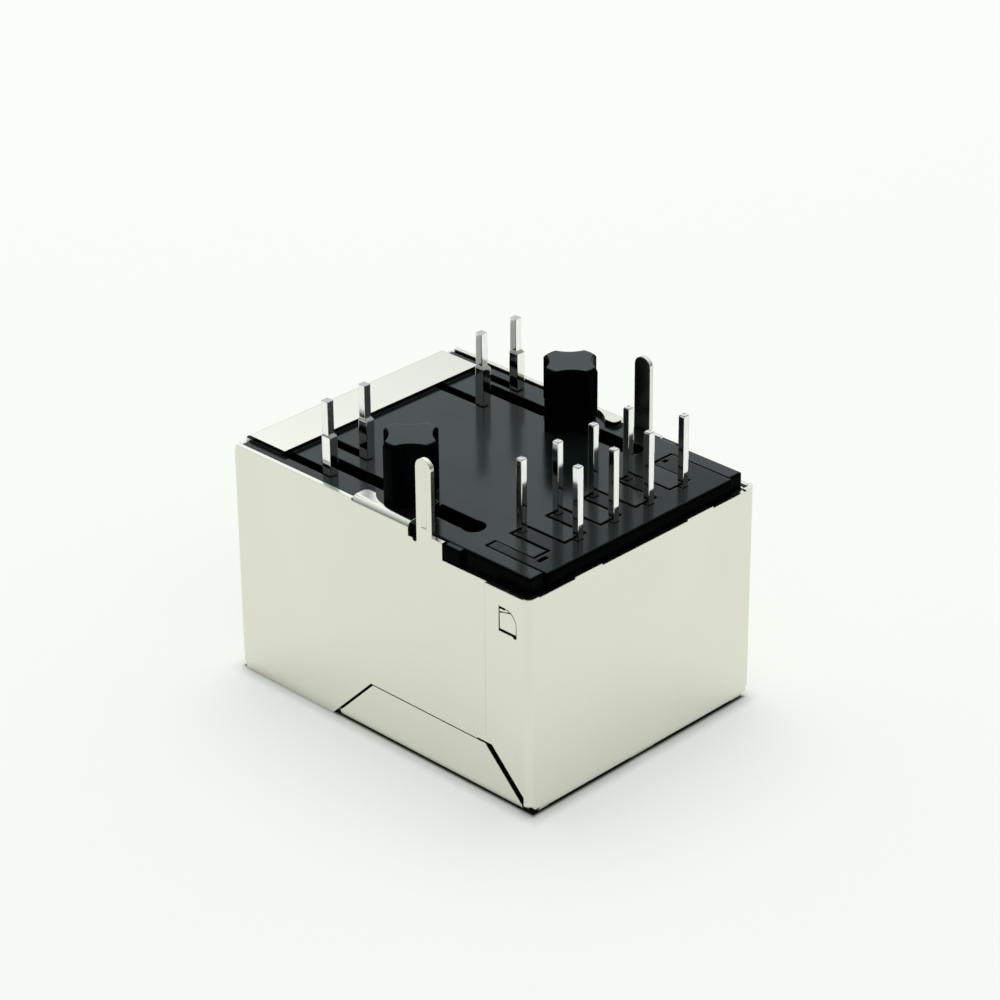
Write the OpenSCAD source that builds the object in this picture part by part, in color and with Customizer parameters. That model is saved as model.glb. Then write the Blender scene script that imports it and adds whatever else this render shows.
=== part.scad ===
// Shielded board jack for an eight-way modular plug, with magnetics and two lamps.
// It lies on its cover panel: the mouth faces -Y, the rear panel +Y and the board side +Z.

/* [Shield] */
// Width over the side walls
shield_w = 15.94; // [15.4:0.01:17]
// Depth from the mouth face to the rear panel
shield_d = 21.35; // [20.8:0.05:23]
// Height from the cover panel to the board-side lip
shield_h = 13.3; // [12.9:0.1:14.5]
// Sheet thickness
sheet_t = 0.25; // [0.15:0.01:0.3]
// Outer radius of every fold
fold_r = 0.4; // [0.35:0.05:0.6]
// Gap left where two edges of the sheet meet
sheet_gap = 0.06; // [0.03:0.01:0.1]
// Gap between a wing and the side wall inside it
wing_gap = 0.02; // [0.01:0.01:0.05]
// Width of the slanted slot in front of a side flap
slant_gap = 0.2; // [0.1:0.02:0.3]
// Width of the lip folded over the board side
lip_w = 13.9; // [12:0.1:14.2]
// Length of the lip from the mouth face
lip_l = 2.94; // [2:0.02:3.2]
// Drop of the low wall edges below the lip
low_edge_drop = 1.23; // [0.8:0.01:1.6]
// Depth of the side flaps folded up from the cover panel
flap_h = 2.87; // [1.5:0.1:4]
// Distance from a side flap's upper rear corner to the front edge of the wing
flap_ahead = 0.33; // [0.2:0.01:0.5]
// Start of the side flaps behind the mouth face
flap_setback = 7.22; // [5:0.02:9]
// Length of the rear wings along the side walls
wing_l = 2.94; // [2.6:0.02:3.6]

/* [Shield tabs] */
// Width of the two solder tabs
tab_w = 1.05; // [0.8:0.05:1.4]
// Reach of the solder tabs above the lip
tab_reach = 3.85; // [2.5:0.1:4.5]
// Distance of the solder tabs behind the peg axes
tab_behind = 3.14; // [2.9:0.02:3.3]
// Width of the stiffening groove pressed into a solder tab
tab_groove_w = 0.4; // [0.2:0.05:0.5]
// Length of the edge that folds in beside each peg
fold_in_l = 4; // [3.6:0.1:4.2]
// Distance that this edge reaches in over the moulding
fold_in_reach = 1.08; // [0.8:0.02:1.3]
// Gap between this edge and the peg
peg_relief = 0.13; // [0.1:0.01:0.3]

/* [Moulding] */
// Fit between the mouldings and the sheet
fit_gap = 0.05; // [0.02:0.01:0.1]
// Gap of the parting line round the pin carrier
seam_gap = 0.13; // [0.05:0.01:0.16]
// Clearance round metal that is moulded in
mould_gap = 0.02; // [0.01:0.01:0.04]
// Distance of the peg axes from the side faces
peg_inset = 2.255; // [2:0.005:2.5]
// Diameter of the pegs
peg_d = 3.3; // [2.8:0.05:3.4]
// Height of the pegs above the moulding
peg_h = 3.55; // [2.5:0.1:4]
// Radius of the four scoops in each peg
scoop_r = 1.65; // [1.2:0.05:2]
// Half thickness of a peg across two opposite scoops
scoop_waist = 1.08; // [0.9:0.02:1.4]
// Bevel at the top of the pegs
peg_bevel = 0.2; // [0.1:0.05:0.3]
// Width of the long cored grooves ahead of the pegs
groove_w = 0.86; // [0.7:0.02:1]
// Depth of the long cored grooves
groove_depth = 1.2; // [0.6:0.1:1.3]
// Distance from the peg axes to the round ends of the long grooves
groove_l = 4.3; // [3.8:0.1:4.6]
// Bevel along the outer edges of the moulding
edge_bevel = 0.1; // [0.05:0.01:0.2]

/* [Plug cavity] */
// Width of the cavity
cavity_w = 11.9; // [11.7:0.05:12.2]
// Height of the cavity
cavity_h = 6.8; // [6.6:0.05:7]
// Thickness of the wall behind the cavity
back_wall = 1; // [0.8:0.05:1.2]
// Height of the cavity floor above the cover panel's outer face
cavity_z = 2.3; // [2.1:0.05:2.4]
// Width of the latch slot
latch_w = 6.3; // [6:0.05:6.6]
// Depth of the latch slot
latch_h = 1.1; // [0.9:0.05:1.2]
// Width of the slot for the latch lever
lever_w = 3.6; // [3.2:0.1:4]
// Depth of the slot for the latch lever
lever_h = 1; // [0.8:0.05:1.1]
// Length of the two ledges that catch the latch
catch_l = 2; // [1.5:0.1:2.5]
// Length of the room behind the ledges
latch_room_l = 6; // [5:0.1:6.5]

/* [Contacts] */
// Pitch of the eight spring contacts
contact_pitch = 1.02; // [1.01:0.01:1.04]
// Width of a contact strip
contact_w = 0.4; // [0.35:0.01:0.46]
// Thickness of a contact strip
contact_t = 0.25; // [0.2:0.01:0.28]
// Height of a contact's free end above the cavity floor
contact_rise = 2.35; // [2:0.05:2.4]
// Distance of the contacts' bend behind the mouth face
contact_setback = 3; // [2.8:0.1:3.6]

/* [Solder pins] */
// Pitch between neighbouring signal pins across the jack
pin_pitch = 1.27; // [1.24:0.01:1.3]
// Distance between the two rows of signal pins
row_pitch = 2.54; // [2.4:0.02:2.6]
// Distance of the front row behind the peg axes
row_behind = 6.35; // [6.25:0.05:6.45]
// Distance of the rear row ahead of the rear panel's outer face
rear_row_ahead = 1.57; // [1.4:0.01:1.8]
// Width of a square signal pin
pin_w = 0.37; // [0.34:0.01:0.5]
// Reach of the signal pins above the lip
pin_reach = 3.8; // [2.5:0.1:4.5]

/* [Lamps] */
// Distance of the lamps' centres from the side faces
lamp_inset = 2.52; // [2.4:0.01:2.7]
// Pitch of the two leads of a lamp
lead_pitch = 2.54; // [2.4:0.02:2.6]
// Width of a square lamp lead
lead_w = 0.42; // [0.36:0.01:0.5]
// Reach of the lamp leads above the lip
lead_reach = 3.85; // [2.5:0.1:4.5]
// Distance of the lamp leads ahead of the peg axes
lead_ahead = 4.88; // [4.7:0.05:5]
// Width of a lamp
lamp_w = 3; // [2.8:0.05:3.1]
// Height of a lamp
lamp_h = 2.3; // [2:0.05:2.4]
// Length of a lamp
lamp_l = 2.6; // [2:0.1:2.7]

/* [Magnetics] */
// Depth of the rear chamber in front of the rear panel
module_l = 7.75; // [7.5:0.05:8]
// Thickness of the circuit board
board_t = 0.8; // [0.6:0.05:0.9]
// Gap between two windings
winding_gap = 0.1; // [0.05:0.01:0.2]
// Hole of a ring core
core_hole = 1.2; // [1:0.05:1.3]
// Height of a ring core
core_h = 1.3; // [1:0.05:1.4]
// Thickness of the winding round a ring core
winding_t = 0.18; // [0.1:0.01:0.2]
// Length of a chip resistor
chip_l = 1.6; // [1.4:0.1:1.7]
// Width of a chip resistor
chip_w = 0.8; // [0.6:0.05:0.9]
// Height of a chip resistor
chip_h = 0.45; // [0.3:0.05:0.6]

/* [Hidden] */
$fn = 48;
cut = 1; // how far a cutting tool runs past the face that it opens

// Faces of the shield
side_x = shield_w / 2;
rear_y = shield_d / 2;
mouth_y = -rear_y;
inner_x = side_x - sheet_t;
inner_mouth_y = mouth_y + sheet_t;
inner_rear_y = rear_y - sheet_t;
face_z = shield_h - sheet_t; // board-side face of the mouldings, under the lip
low_edge_z = shield_h - low_edge_drop;
wall_top_z = shield_h - fold_r / 3;
mouth_top_z = shield_h - fold_r; // beside the lip

// Places along the depth
rear_row_y = rear_y - rear_row_ahead;
front_row_y = rear_row_y - row_pitch;
peg_y = front_row_y - row_behind;
tab_y = peg_y + tab_behind;
lead_y = peg_y - lead_ahead;
lip_y = mouth_y + lip_l;
flap_y = mouth_y + flap_setback;
wing_y = rear_y - wing_l;
wing_x = side_x + wing_gap; // inner face of the wings
flap_end = wing_y - flap_ahead + flap_h; // lower rear corner of the side flaps
flap_seam_z = flap_h + sheet_gap;        // lower edge of the side walls above the flaps
wing_low_z = flap_h + 0.74;              // lower front corner of the wings
rear_top_z = low_edge_z + 0.1;           // top of the rear panel and the wings
tongue_x = 0.85;                         // half width of the middle tongue that folds up into the rear panel
strap_x = [6.85, 7.5];                   // sides of the two outer straps that do the same
step_y = tab_y + tab_w / 2 + 0.7;        // end of the full-height wall behind the solder tab

// Housing
peg_x = side_x - peg_inset;
lamp_x = side_x - lamp_inset;
housing_x = inner_x - fit_gap;
rail_w = 0.95;
rail_x = housing_x - rail_w; // inner face of the side rails
chamber_y = rear_y - module_l;
cavity_y = chamber_y - back_wall;
cavity_l = cavity_y - mouth_y;
board_wall = 1.55; // thickness of the wall that carries the pegs
roof_z = face_z - board_wall;
cavity_top_z = cavity_z + cavity_h;
latch_top_z = cavity_top_z + latch_h;
lever_top_z = latch_top_z + lever_h;

// Contact block and circuit board, stacked in the rear chamber
block_w = 2 * (rail_x - fit_gap);
block_top_z = 3.45;
tongue_w = 9.1;
tongue_y = mouth_y + contact_setback + 0.75;
board_z = block_top_z + fit_gap;
board_top_z = board_z + board_t;
module_y = chamber_y + fit_gap;
module_end_y = inner_rear_y - fit_gap;

// Pin carrier
tray_wall = 0.6;
tray_w = block_w - 2 * tray_wall;
core_d = tray_w / 4 - winding_gap - 2 * winding_t; // outer diameter of a ring core
plate_t = 0.8; // thickness of the carrier's plate under the comb
tray_z = board_top_z + fit_gap;
tray_top_z = roof_z - seam_gap;
comb_ahead = 0.15; // distance of the comb edges ahead of the pin centres
comb_y = front_row_y - comb_ahead;
slot_y = rear_row_y - comb_ahead;
tooth_w = 0.97;
tooth_pitch = 2 * pin_pitch;
slot_w = tooth_pitch - tooth_w;
end_slot_w = 0.32; // reach of the first end slot beyond its centre
carrier_end_y = module_end_y - 0.08;
carrier_top_y = rear_y - 0.22; // rear edge of the carrier above the rear panel
rail_end_y = rear_y - 0.43;    // rear end of the housing above the rear panel

// Spring contacts
floor_run_z = 0.95;
tail_y = [module_y + 1.2, module_y + 2.2];
tip_y = cavity_y - 2.2;
bend_r = 0.5;

// Lamps
lamp_gap = 0.05;
lamp_y = inner_mouth_y + fit_gap;
lamp_z = roof_z - 1.45;
lead_z = lamp_z + lamp_h - 0.8;
channel_w = lead_w + 0.15;
channel_z = lead_z - lead_w / 2 - 0.1;

// ---- shared outlines -------------------------------------------------------------------

// Points of an arc round centre c, from angle a0 to a1
function arc(c, r, a0, a1, n = 6) =
    [for (i = [0:n]) c + r * [cos(a0 + (a1 - a0) * i / n), sin(a0 + (a1 - a0) * i / n)]];

function unit(v) = v / norm(v);
function half_turn(a) = a > 180 ? a - 360 : a < -180 ? a + 360 : a;

// Points that round the corner q of the line p-q-s with radius r
function corner(p, q, s, r, n = 5) =
    let (
        u = unit(p - q),
        w = unit(s - q),
        half = acos(u * w) / 2,
        c = q + unit(u + w) * r / sin(half),
        first = q + u * r / tan(half) - c,
        last = q + w * r / tan(half) - c,
        a0 = atan2(first[1], first[0]),
        a1 = a0 + half_turn(atan2(last[1], last[0]) - a0)
    )
    arc(c, r, a0, a1, n);

// A line with its inner corners rounded
function rounded(pts, r) = concat(
    [pts[0]],
    [for (i = [1:len(pts) - 2]) each corner(pts[i - 1], pts[i], pts[i + 1], r)],
    [pts[len(pts) - 1]]
);

function left_of(v) = [-v[1], v[0]];

// The line moved sideways by d, with mitred corners
function shifted(line, d) =
    let (last = len(line) - 1)
    [for (i = [0:last])
        let (
            before = left_of(unit(line[max(i, 1)] - line[max(i, 1) - 1])),
            after = left_of(unit(line[min(i, last - 1) + 1] - line[min(i, last - 1)]))
        )
        line[i] + d * (before + after) / (1 + before * after)
    ];

// Outline of a strip of thickness t that follows a line
function strip(line, t) =
    let (a = shifted(line, t / 2), b = shifted(line, -t / 2))
    concat(a, [for (i = [len(b) - 1:-1:0]) b[i]]);

// A box between two corners
module block(a, b) {
    translate(a) cube(b - a);
}

// An outline with its four corners cut off
module bevelled_outline(a, b, bevel) {
    polygon([
        [a[0] + bevel, a[1]], [b[0] - bevel, a[1]], [b[0], a[1] + bevel], [b[0], b[1] - bevel],
        [b[0] - bevel, b[1]], [a[0] + bevel, b[1]], [a[0], b[1] - bevel], [a[0], a[1] + bevel],
    ]);
}

// A box between two corners with all its edges bevelled
module bevelled_block(a, b, bevel) {
    intersection() {
        translate([0, 0, a[2]]) linear_extrude(b[2] - a[2])
            bevelled_outline([a[0], a[1]], [b[0], b[1]], bevel);
        along_x() translate([0, 0, a[0]]) linear_extrude(b[0] - a[0])
            bevelled_outline([a[1], a[2]], [b[1], b[2]], bevel);
        along_y() translate([0, 0, a[1]]) linear_extrude(b[1] - a[1])
            bevelled_outline([a[0], a[2]], [b[0], b[2]], bevel);
    }
}

module both_sides() {
    children();
    mirror([1, 0, 0]) children();
}

// Turns an outline drawn in Y and Z so that it runs along X
module along_x() {
    rotate([90, 0, 90]) children();
}

// Turns an outline drawn in X and Z so that it runs along Y
module along_y() {
    mirror([0, 1, 0]) rotate([90, 0, 0]) children();
}

// ---- shield ----------------------------------------------------------------------------

// A fold of the sheet: its outer faces would meet at the corner, on the sides given by way
module fold_at(edge, way, from, to) {
    translate([edge[0] - way[0] * fold_r, edge[1] - way[1] * fold_r, from])
        mirror([way[0] < 0 ? 1 : 0, 0, 0])
            mirror([0, way[1] < 0 ? 1 : 0, 0])
                rotate_extrude(angle = 90)
                    translate([fold_r - sheet_t, 0])
                        square([sheet_t, to - from]);
}

// Opening of the mouth, larger than the cavity by the gap all round
module mouth_outline(gap) {
    translate([-cavity_w / 2 - gap, cavity_z - gap]) square([cavity_w + 2 * gap, cavity_h + 2 * gap]);
    translate([-latch_w / 2 - gap, cavity_z]) square([latch_w + 2 * gap, cavity_h + latch_h + gap]);
    translate([-lever_w / 2 - gap, cavity_z]) square([lever_w + 2 * gap, cavity_h + latch_h + lever_h + gap]);
}

// Mouth face, with the plug opening and the two lamp windows
module mouth_face() {
    half = side_x - fold_r;
    window_w = lamp_w - 0.5;
    window_h = lamp_h - 0.5;
    along_y() translate([0, 0, mouth_y]) linear_extrude(sheet_t) difference() {
        union() {
            translate([-half, fold_r]) square([2 * half, mouth_top_z - fold_r]);
            translate([-lip_w / 2, fold_r]) square([lip_w, shield_h - 2 * fold_r]);
        }
        mouth_outline(0.1);
        for (side = [-1, 1])
            translate([side * lamp_x - window_w / 2, lamp_z + (lamp_h - window_h) / 2])
                square([window_w, window_h]);
    }
}

module lip() {
    along_x() fold_at([mouth_y, shield_h], [-1, 1], -lip_w / 2, lip_w / 2);
    block([-lip_w / 2, mouth_y + fold_r, face_z], [lip_w / 2, lip_y, shield_h]);
}

// Side wall: full height up to the solder tab, low behind it, cut away over the side flap
// and set back behind the wing
module side_wall() {
    wall_front = mouth_y + fold_r;
    wall_end = inner_rear_y - sheet_gap;
    tab_half = tab_w / 2;
    notch = 0.3;
    notch_z = wall_top_z - 0.6;
    fold_front = peg_y - fold_in_l / 2;
    fold_back = peg_y + fold_in_l / 2;
    tab_top = shield_h + tab_reach;
    behind = wing_y + 0.1;
    hidden_z = wing_low_z + 0.6;
    slot = sheet_gap;
    along_x() translate([0, 0, inner_x]) linear_extrude(sheet_t) difference() {
        polygon(concat(
            [
                [wall_front, 0],
                [flap_y - slant_gap, 0],
                [flap_y - slant_gap + flap_seam_z, flap_seam_z],
                [behind - 1, flap_seam_z],
                [behind - 1 + slot, flap_seam_z + slot],
                [behind, flap_seam_z + slot],
                [behind, hidden_z],
                [wall_end, hidden_z - (wall_end - behind)],
                [wall_end, low_edge_z],
                [step_y, low_edge_z],
                [step_y, wall_top_z - 0.15],
                [tab_y + tab_half, wall_top_z - 0.15],
            ],
            arc([tab_y, tab_top - tab_half], tab_half, 0, 180, 12),
            [
                [tab_y - tab_half, notch_z],
                [fold_back, notch_z],
                [fold_back, shield_h - fold_r],
                [fold_front, shield_h - fold_r],
                [fold_front, wall_top_z],
                [wall_front, wall_top_z],
            ]
        ));
        translate([tab_y - tab_half - notch / 2, notch_z]) circle(d = notch);
    }
}

// Outline of the latch window in the wing, or with an inset that of the catch inside it
latch_y = wing_y + 0.92;
latch_l = 1.2;
latch_low = low_edge_z - 2.17;
latch_high = low_edge_z - 0.8;

module latch_outline(inset) {
    round_r = latch_l * 0.65;
    polygon(concat(
        [[latch_y + inset, latch_low + inset], [latch_y + latch_l - inset, latch_low + inset]],
        arc([latch_y + latch_l - round_r, latch_high - round_r], round_r - inset, 0, 90),
        [[latch_y + inset, latch_high - inset]]
    ));
}

// Catch lanced out of the side wall into the wing's window, slit at its foot and creased near its top
module catch_outline() {
    difference() {
        latch_outline(sheet_gap);
        translate([latch_y, latch_low]) square([latch_l, 0.14]);
        translate([latch_y, latch_high - 0.14]) square([latch_l * 0.35, 0.14]);
    }
}

module catch_crease() {
    crease = [[latch_y - cut, latch_low + 0.78], [latch_y + latch_l, latch_high - 0.05]];
    along_x() translate([0, 0, side_x + sheet_t / 2]) linear_extrude(sheet_t) polygon(strip(crease, 0.07));
}

// Wing folded forward from the rear panel over the side wall
module wing() {
    wing_end = rear_y - fold_r;
    along_x() translate([0, 0, wing_x]) linear_extrude(sheet_t) difference() {
        polygon([
            [wing_y, wing_low_z],
            [wing_end, wing_low_z - (wing_end - wing_y)],
            [wing_end, rear_top_z],
            [wing_y, rear_top_z],
        ]);
        latch_outline(0);
        translate([latch_y + latch_l - 0.12, latch_low + 0.04]) circle(r = 0.13);
    }
    difference() {
        along_x() translate([0, 0, inner_x]) linear_extrude(2 * sheet_t) catch_outline();
        catch_crease();
    }
}

// Flap folded up from the cover panel, with both ends slanted
module side_flap() {
    along_x() translate([0, 0, inner_x]) linear_extrude(sheet_t) polygon([
        [flap_y + fold_r, fold_r],
        [flap_end - fold_r, fold_r],
        [flap_end - flap_h, flap_h],
        [flap_y + flap_h, flap_h],
    ]);
    along_y() fold_at([side_x, 0], [1, -1], flap_y + fold_r, flap_end - fold_r);
    block([inner_x - sheet_gap, flap_y + fold_r, 0], [side_x - fold_r, flap_end - fold_r, sheet_t]);
}

// Edge of the side wall folded in over the moulding, hollowed round the peg
module fold_in() {
    fold_front = peg_y - fold_in_l / 2;
    fold_back = peg_y + fold_in_l / 2;
    reach_x = side_x - fold_in_reach;
    round_r = 0.25;
    along_y() fold_at([side_x, shield_h], [1, 1], fold_front, fold_back);
    translate([0, 0, face_z]) linear_extrude(sheet_t) difference() {
        polygon(concat(
            [[side_x - fold_r, fold_front], [side_x - fold_r, fold_back]],
            arc([reach_x + round_r, fold_back - round_r], round_r, 90, 180),
            arc([reach_x + round_r, fold_front + round_r], round_r, 180, 270)
        ));
        translate([peg_x, peg_y]) circle(r = peg_d / 2 + peg_relief);
    }
}

// Rear panel: it hangs on a tongue and two straps folded up from the cover panel, with slots between
module rear_panel() {
    half = wing_x + sheet_t - fold_r;
    raised = [3.1, 5];
    free_low = 0.28; // lower edge beside the tongue and the straps
    corner_low = 0.6;
    along_y() translate([0, 0, inner_rear_y]) linear_extrude(sheet_t) {
        translate([-half, fold_r]) square([2 * half, rear_top_z - fold_r]);
        both_sides() {
            translate([raised[0], rear_top_z - cut]) square([raised[1] - raised[0], cut + 0.1]);
            translate([strap_x[1], rear_top_z - cut]) square([half - strap_x[1], cut + 0.06]);
            translate([tongue_x, free_low]) square([strap_x[0] - tongue_x, fold_r]);
        }
    }
    along_x() fold_at([rear_y, 0], [1, -1], -tongue_x, tongue_x);
    both_sides() {
        along_x() fold_at([rear_y, 0], [1, -1], strap_x[0], strap_x[1]);
        fold_at([wing_x + sheet_t, rear_y], [1, 1], corner_low, rear_top_z + 0.06);
    }
}

module cover_panel() {
    half = inner_x - sheet_gap;
    slot_l = 0.6; // depth of the slots along the rear fold
    block([-half, mouth_y + fold_r, 0], [half, rear_y - slot_l, sheet_t]);
    block([-tongue_x, rear_y - slot_l - cut, 0], [tongue_x, rear_y - fold_r, sheet_t]);
    both_sides()
        block([strap_x[0], rear_y - slot_l - cut, 0], [strap_x[1], rear_y - fold_r, sheet_t]);
    along_x() fold_at([mouth_y, 0], [-1, -1], -half + fold_r, half - fold_r);
}

// Groove pressed into the outer face of a solder tab
module tab_groove() {
    groove_r = tab_groove_w;
    groove_x = side_x + sqrt(pow(groove_r, 2) - pow(tab_groove_w / 2, 2));
    low = wall_top_z + 0.2;
    high = shield_h + tab_reach - tab_w * 0.7;
    translate([groove_x, tab_y, low]) cylinder(r = groove_r, h = high - low);
    translate([groove_x, tab_y, high]) sphere(r = groove_r);
}

module shield() color([0.84, 0.84, 0.8]) {
    difference() {
        union() {
            mouth_face();
            lip();
            cover_panel();
            rear_panel();
            both_sides() {
                fold_at([side_x, mouth_y], [1, -1], fold_r, mouth_top_z);
                side_wall();
                wing();
                side_flap();
                fold_in();
            }
        }
        both_sides() tab_groove();
    }
}

// ---- housing ---------------------------------------------------------------------------

// A peg: a post with four scoops on its diagonals and a bevelled end
module peg() {
    difference() {
        union() {
            cylinder(d = peg_d, h = peg_h - peg_bevel);
            translate([0, 0, peg_h - peg_bevel])
                cylinder(d1 = peg_d, d2 = peg_d - 2 * peg_bevel, h = peg_bevel);
        }
        for (turn = [45:90:315])
            rotate([0, 0, turn])
                translate([scoop_waist + scoop_r, 0, 0])
                    cylinder(r = scoop_r, h = peg_h + cut);
    }
}

// Cored groove through the foot of the peg, wider behind it and with a round end
module long_groove() {
    front = lead_y - 1.2;
    back = peg_y + groove_l;
    wide = groove_w + 0.24;
    translate([peg_x, 0, face_z - groove_depth]) {
        block([-groove_w / 2, front, 0], [groove_w / 2, peg_y, groove_depth + cut]);
        block([-wide / 2, peg_y, 0], [wide / 2, back, groove_depth + cut]);
        translate([0, back, 0]) cylinder(d = wide + 0.14, h = groove_depth + cut);
    }
}

// Outline of the pin carrier's comb, larger all round by the gap. The outer sides of the two end
// slots keep only a quarter of the gap.
module comb_outline(gap) {
    end_y = rear_y + cut;
    difference() {
        translate([-block_w / 2 - gap / 2, comb_y - gap]) square([block_w + gap, end_y - comb_y]);
        for (k = [-1:2:7]) {
            from = pin_x(k) - slot_w / 2 + (k == 7 ? gap / 4 : gap);
            to = pin_x(k) + (k == -1 ? end_slot_w - gap / 4 : slot_w / 2 - gap);
            translate([from, comb_y - cut]) square([to - from, slot_y - comb_y + cut - gap]);
        }
    }
}

function pin_x(k) = (3.5 - k) * pin_pitch;

module housing_body() {
    front_y = inner_mouth_y + fit_gap;
    end_y = inner_rear_y - fit_gap;
    floor_z = sheet_t + fit_gap;
    low_z = low_edge_z + fit_gap;
    bevelled_block([-housing_x, front_y, floor_z], [housing_x, rail_end_y, face_z], edge_bevel);
    block([-housing_x, rail_end_y - cut, floor_z], [housing_x, end_y, low_z]);
    // lugs that fill the step in the side walls
    bevelled_block([-side_x, step_y + fit_gap, low_z], [side_x, step_y + 1.25, face_z - 0.05], edge_bevel);
}

module plug_cavity() {
    along_y() translate([0, 0, mouth_y]) {
        linear_extrude(cavity_l)
            translate([-cavity_w / 2, cavity_z]) square([cavity_w, cavity_h]);
        linear_extrude(cavity_l - 1.5)
            translate([-latch_w / 2, cavity_z]) square([latch_w, cavity_h + latch_h]);
        linear_extrude(cavity_l - 1.5)
            translate([-lever_w / 2, cavity_z]) square([lever_w, cavity_h + latch_h + lever_h]);
    }
    // room behind the two ledges, where the latch springs out
    block([-latch_w / 2, mouth_y + catch_l, cavity_z],
          [latch_w / 2, mouth_y + catch_l + latch_room_l, lever_top_z]);
}

module lamp_pocket() {
    pocket = lamp_gap;
    x = lamp_x;
    block([x - lamp_w / 2 - pocket, mouth_y, lamp_z - pocket],
          [x + lamp_w / 2 + pocket, lamp_y + lamp_l + pocket, lamp_z + lamp_h + pocket]);
    for (side = [-1, 1])
        block([x + side * lead_pitch / 2 - channel_w / 2, lamp_y + lamp_l - 0.2, channel_z],
              [x + side * lead_pitch / 2 + channel_w / 2, lead_y + lead_w / 2 + 0.12, face_z + cut]);
}

module housing() color([0.09, 0.1, 0.1]) {
    difference() {
        union() {
            housing_body();
            both_sides() translate([peg_x, peg_y, face_z]) peg();
        }
        plug_cavity();
        // slot for the tongue of the contact block
        block([-tongue_w / 2 - fit_gap, tongue_y - 1.2, 0], [tongue_w / 2 + fit_gap, chamber_y + cut, cavity_z + 0.01]);
        // rear chamber and the opening for the comb
        block([-rail_x, chamber_y, 0], [rail_x, rear_y + cut, roof_z]);
        translate([0, 0, roof_z - cut]) linear_extrude(board_wall + 2 * cut) comb_outline(seam_gap);
        both_sides() {
            difference() {
                long_groove();
                translate([peg_x, peg_y, 0]) cylinder(d = peg_d, h = shield_h);
            }
            lamp_pocket();
        }
    }
    // ribs that guide the free ends of the contacts
    for (k = [0:8])
        translate([(k - 4) * contact_pitch, 0, 0])
            block([-0.19, tip_y - 0.5, cavity_z + 0.9], [0.19, cavity_y + 0.01, cavity_z + 4]);
}

// ---- pin carrier -----------------------------------------------------------------------

// Where the signal pins stand
module at_pins() {
    for (k = [0:7])
        translate([pin_x(k), pin_row_y(k), 0]) children();
}

function pin_row_y(k) = k % 2 == 0 ? front_row_y : rear_row_y;

module pin_carrier() color([0.1, 0.11, 0.11]) {
    half = block_w / 2;
    hole = pin_w + 2 * mould_gap;
    ledge_z = rear_top_z + 0.3;
    difference() {
        union() {
            block([-half, module_y, tray_z], [half, carrier_end_y, tray_top_z]);
            translate([0, 0, tray_top_z - 0.01]) linear_extrude(face_z - tray_top_z + 0.01)
                intersection() {
                    comb_outline(0);
                    translate([-half, 0]) square([2 * half, carrier_end_y]);
                }
            // edge that stands out over the rear panel
            along_x() translate([0, 0, -half]) linear_extrude(2 * half)
                bevelled_outline([carrier_end_y - 0.5, ledge_z], [carrier_top_y, face_z], edge_bevel);
        }
        // tray for the ring cores, open towards the circuit board
        block([-half + tray_wall, module_y + tray_wall, tray_z - cut],
              [half - tray_wall, carrier_end_y - tray_wall, tray_top_z - plate_t]);
        at_pins() translate([-hole / 2, -hole / 2, tray_z]) cube([hole, hole, shield_h]);
        carrier_pits();
    }
}

// Two small blind holes beside the ends of the comb
module carrier_pits() {
    depth = 0.6;
    block([pin_x(-1) - 0.2, rear_row_y + 0.06, face_z - depth], [pin_x(-1) + 0.4, rear_row_y + 0.3, face_z + cut]);
    block([pin_x(8) - 0.32, comb_y + 0.12, face_z - depth], [pin_x(8), comb_y + 0.36, face_z + cut]);
}

// A square pin from z0 to z1, its end rounded on all four sides
module square_pin(w, z0, z1, round_r) {
    bar = concat(
        [[-w / 2, z0], [w / 2, z0]],
        arc([w / 2 - round_r, z1 - round_r], round_r, 0, 90, 4),
        arc([-w / 2 + round_r, z1 - round_r], round_r, 90, 180, 4)
    );
    intersection() {
        along_y() translate([0, 0, -w / 2]) linear_extrude(w) polygon(bar);
        along_x() translate([0, 0, -w / 2]) linear_extrude(w) polygon(bar);
    }
}

module signal_pin(k) color([0.88, 0.88, 0.86]) {
    translate([pin_x(k), pin_row_y(k), 0])
        square_pin(pin_w, board_z - 0.3, shield_h + pin_reach, pin_w * 0.4);
}

// ---- contacts --------------------------------------------------------------------------

function contact_x(k) = (3.5 - k) * contact_pitch;

function contact_line(k) = rounded([
    [tail_y[k % 2], board_top_z + 0.5],
    [tail_y[k % 2], floor_run_z],
    [mouth_y + contact_setback, floor_run_z],
    [mouth_y + contact_setback, cavity_z + 0.15],
    [tip_y, cavity_z + contact_rise - contact_t / 2],
    [tip_y + 0.7, cavity_z + contact_rise - 0.5],
], bend_r);

// A contact strip, or with a gap the space that it needs
module contact_strip(k, gap) {
    translate([contact_x(k) - contact_w / 2 - gap, 0, 0])
        along_x() linear_extrude(contact_w + 2 * gap) polygon(strip(contact_line(k), contact_t + 2 * gap));
}

module contact(k) color([0.83, 0.68, 0.36]) {
    contact_strip(k, 0);
}

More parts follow.
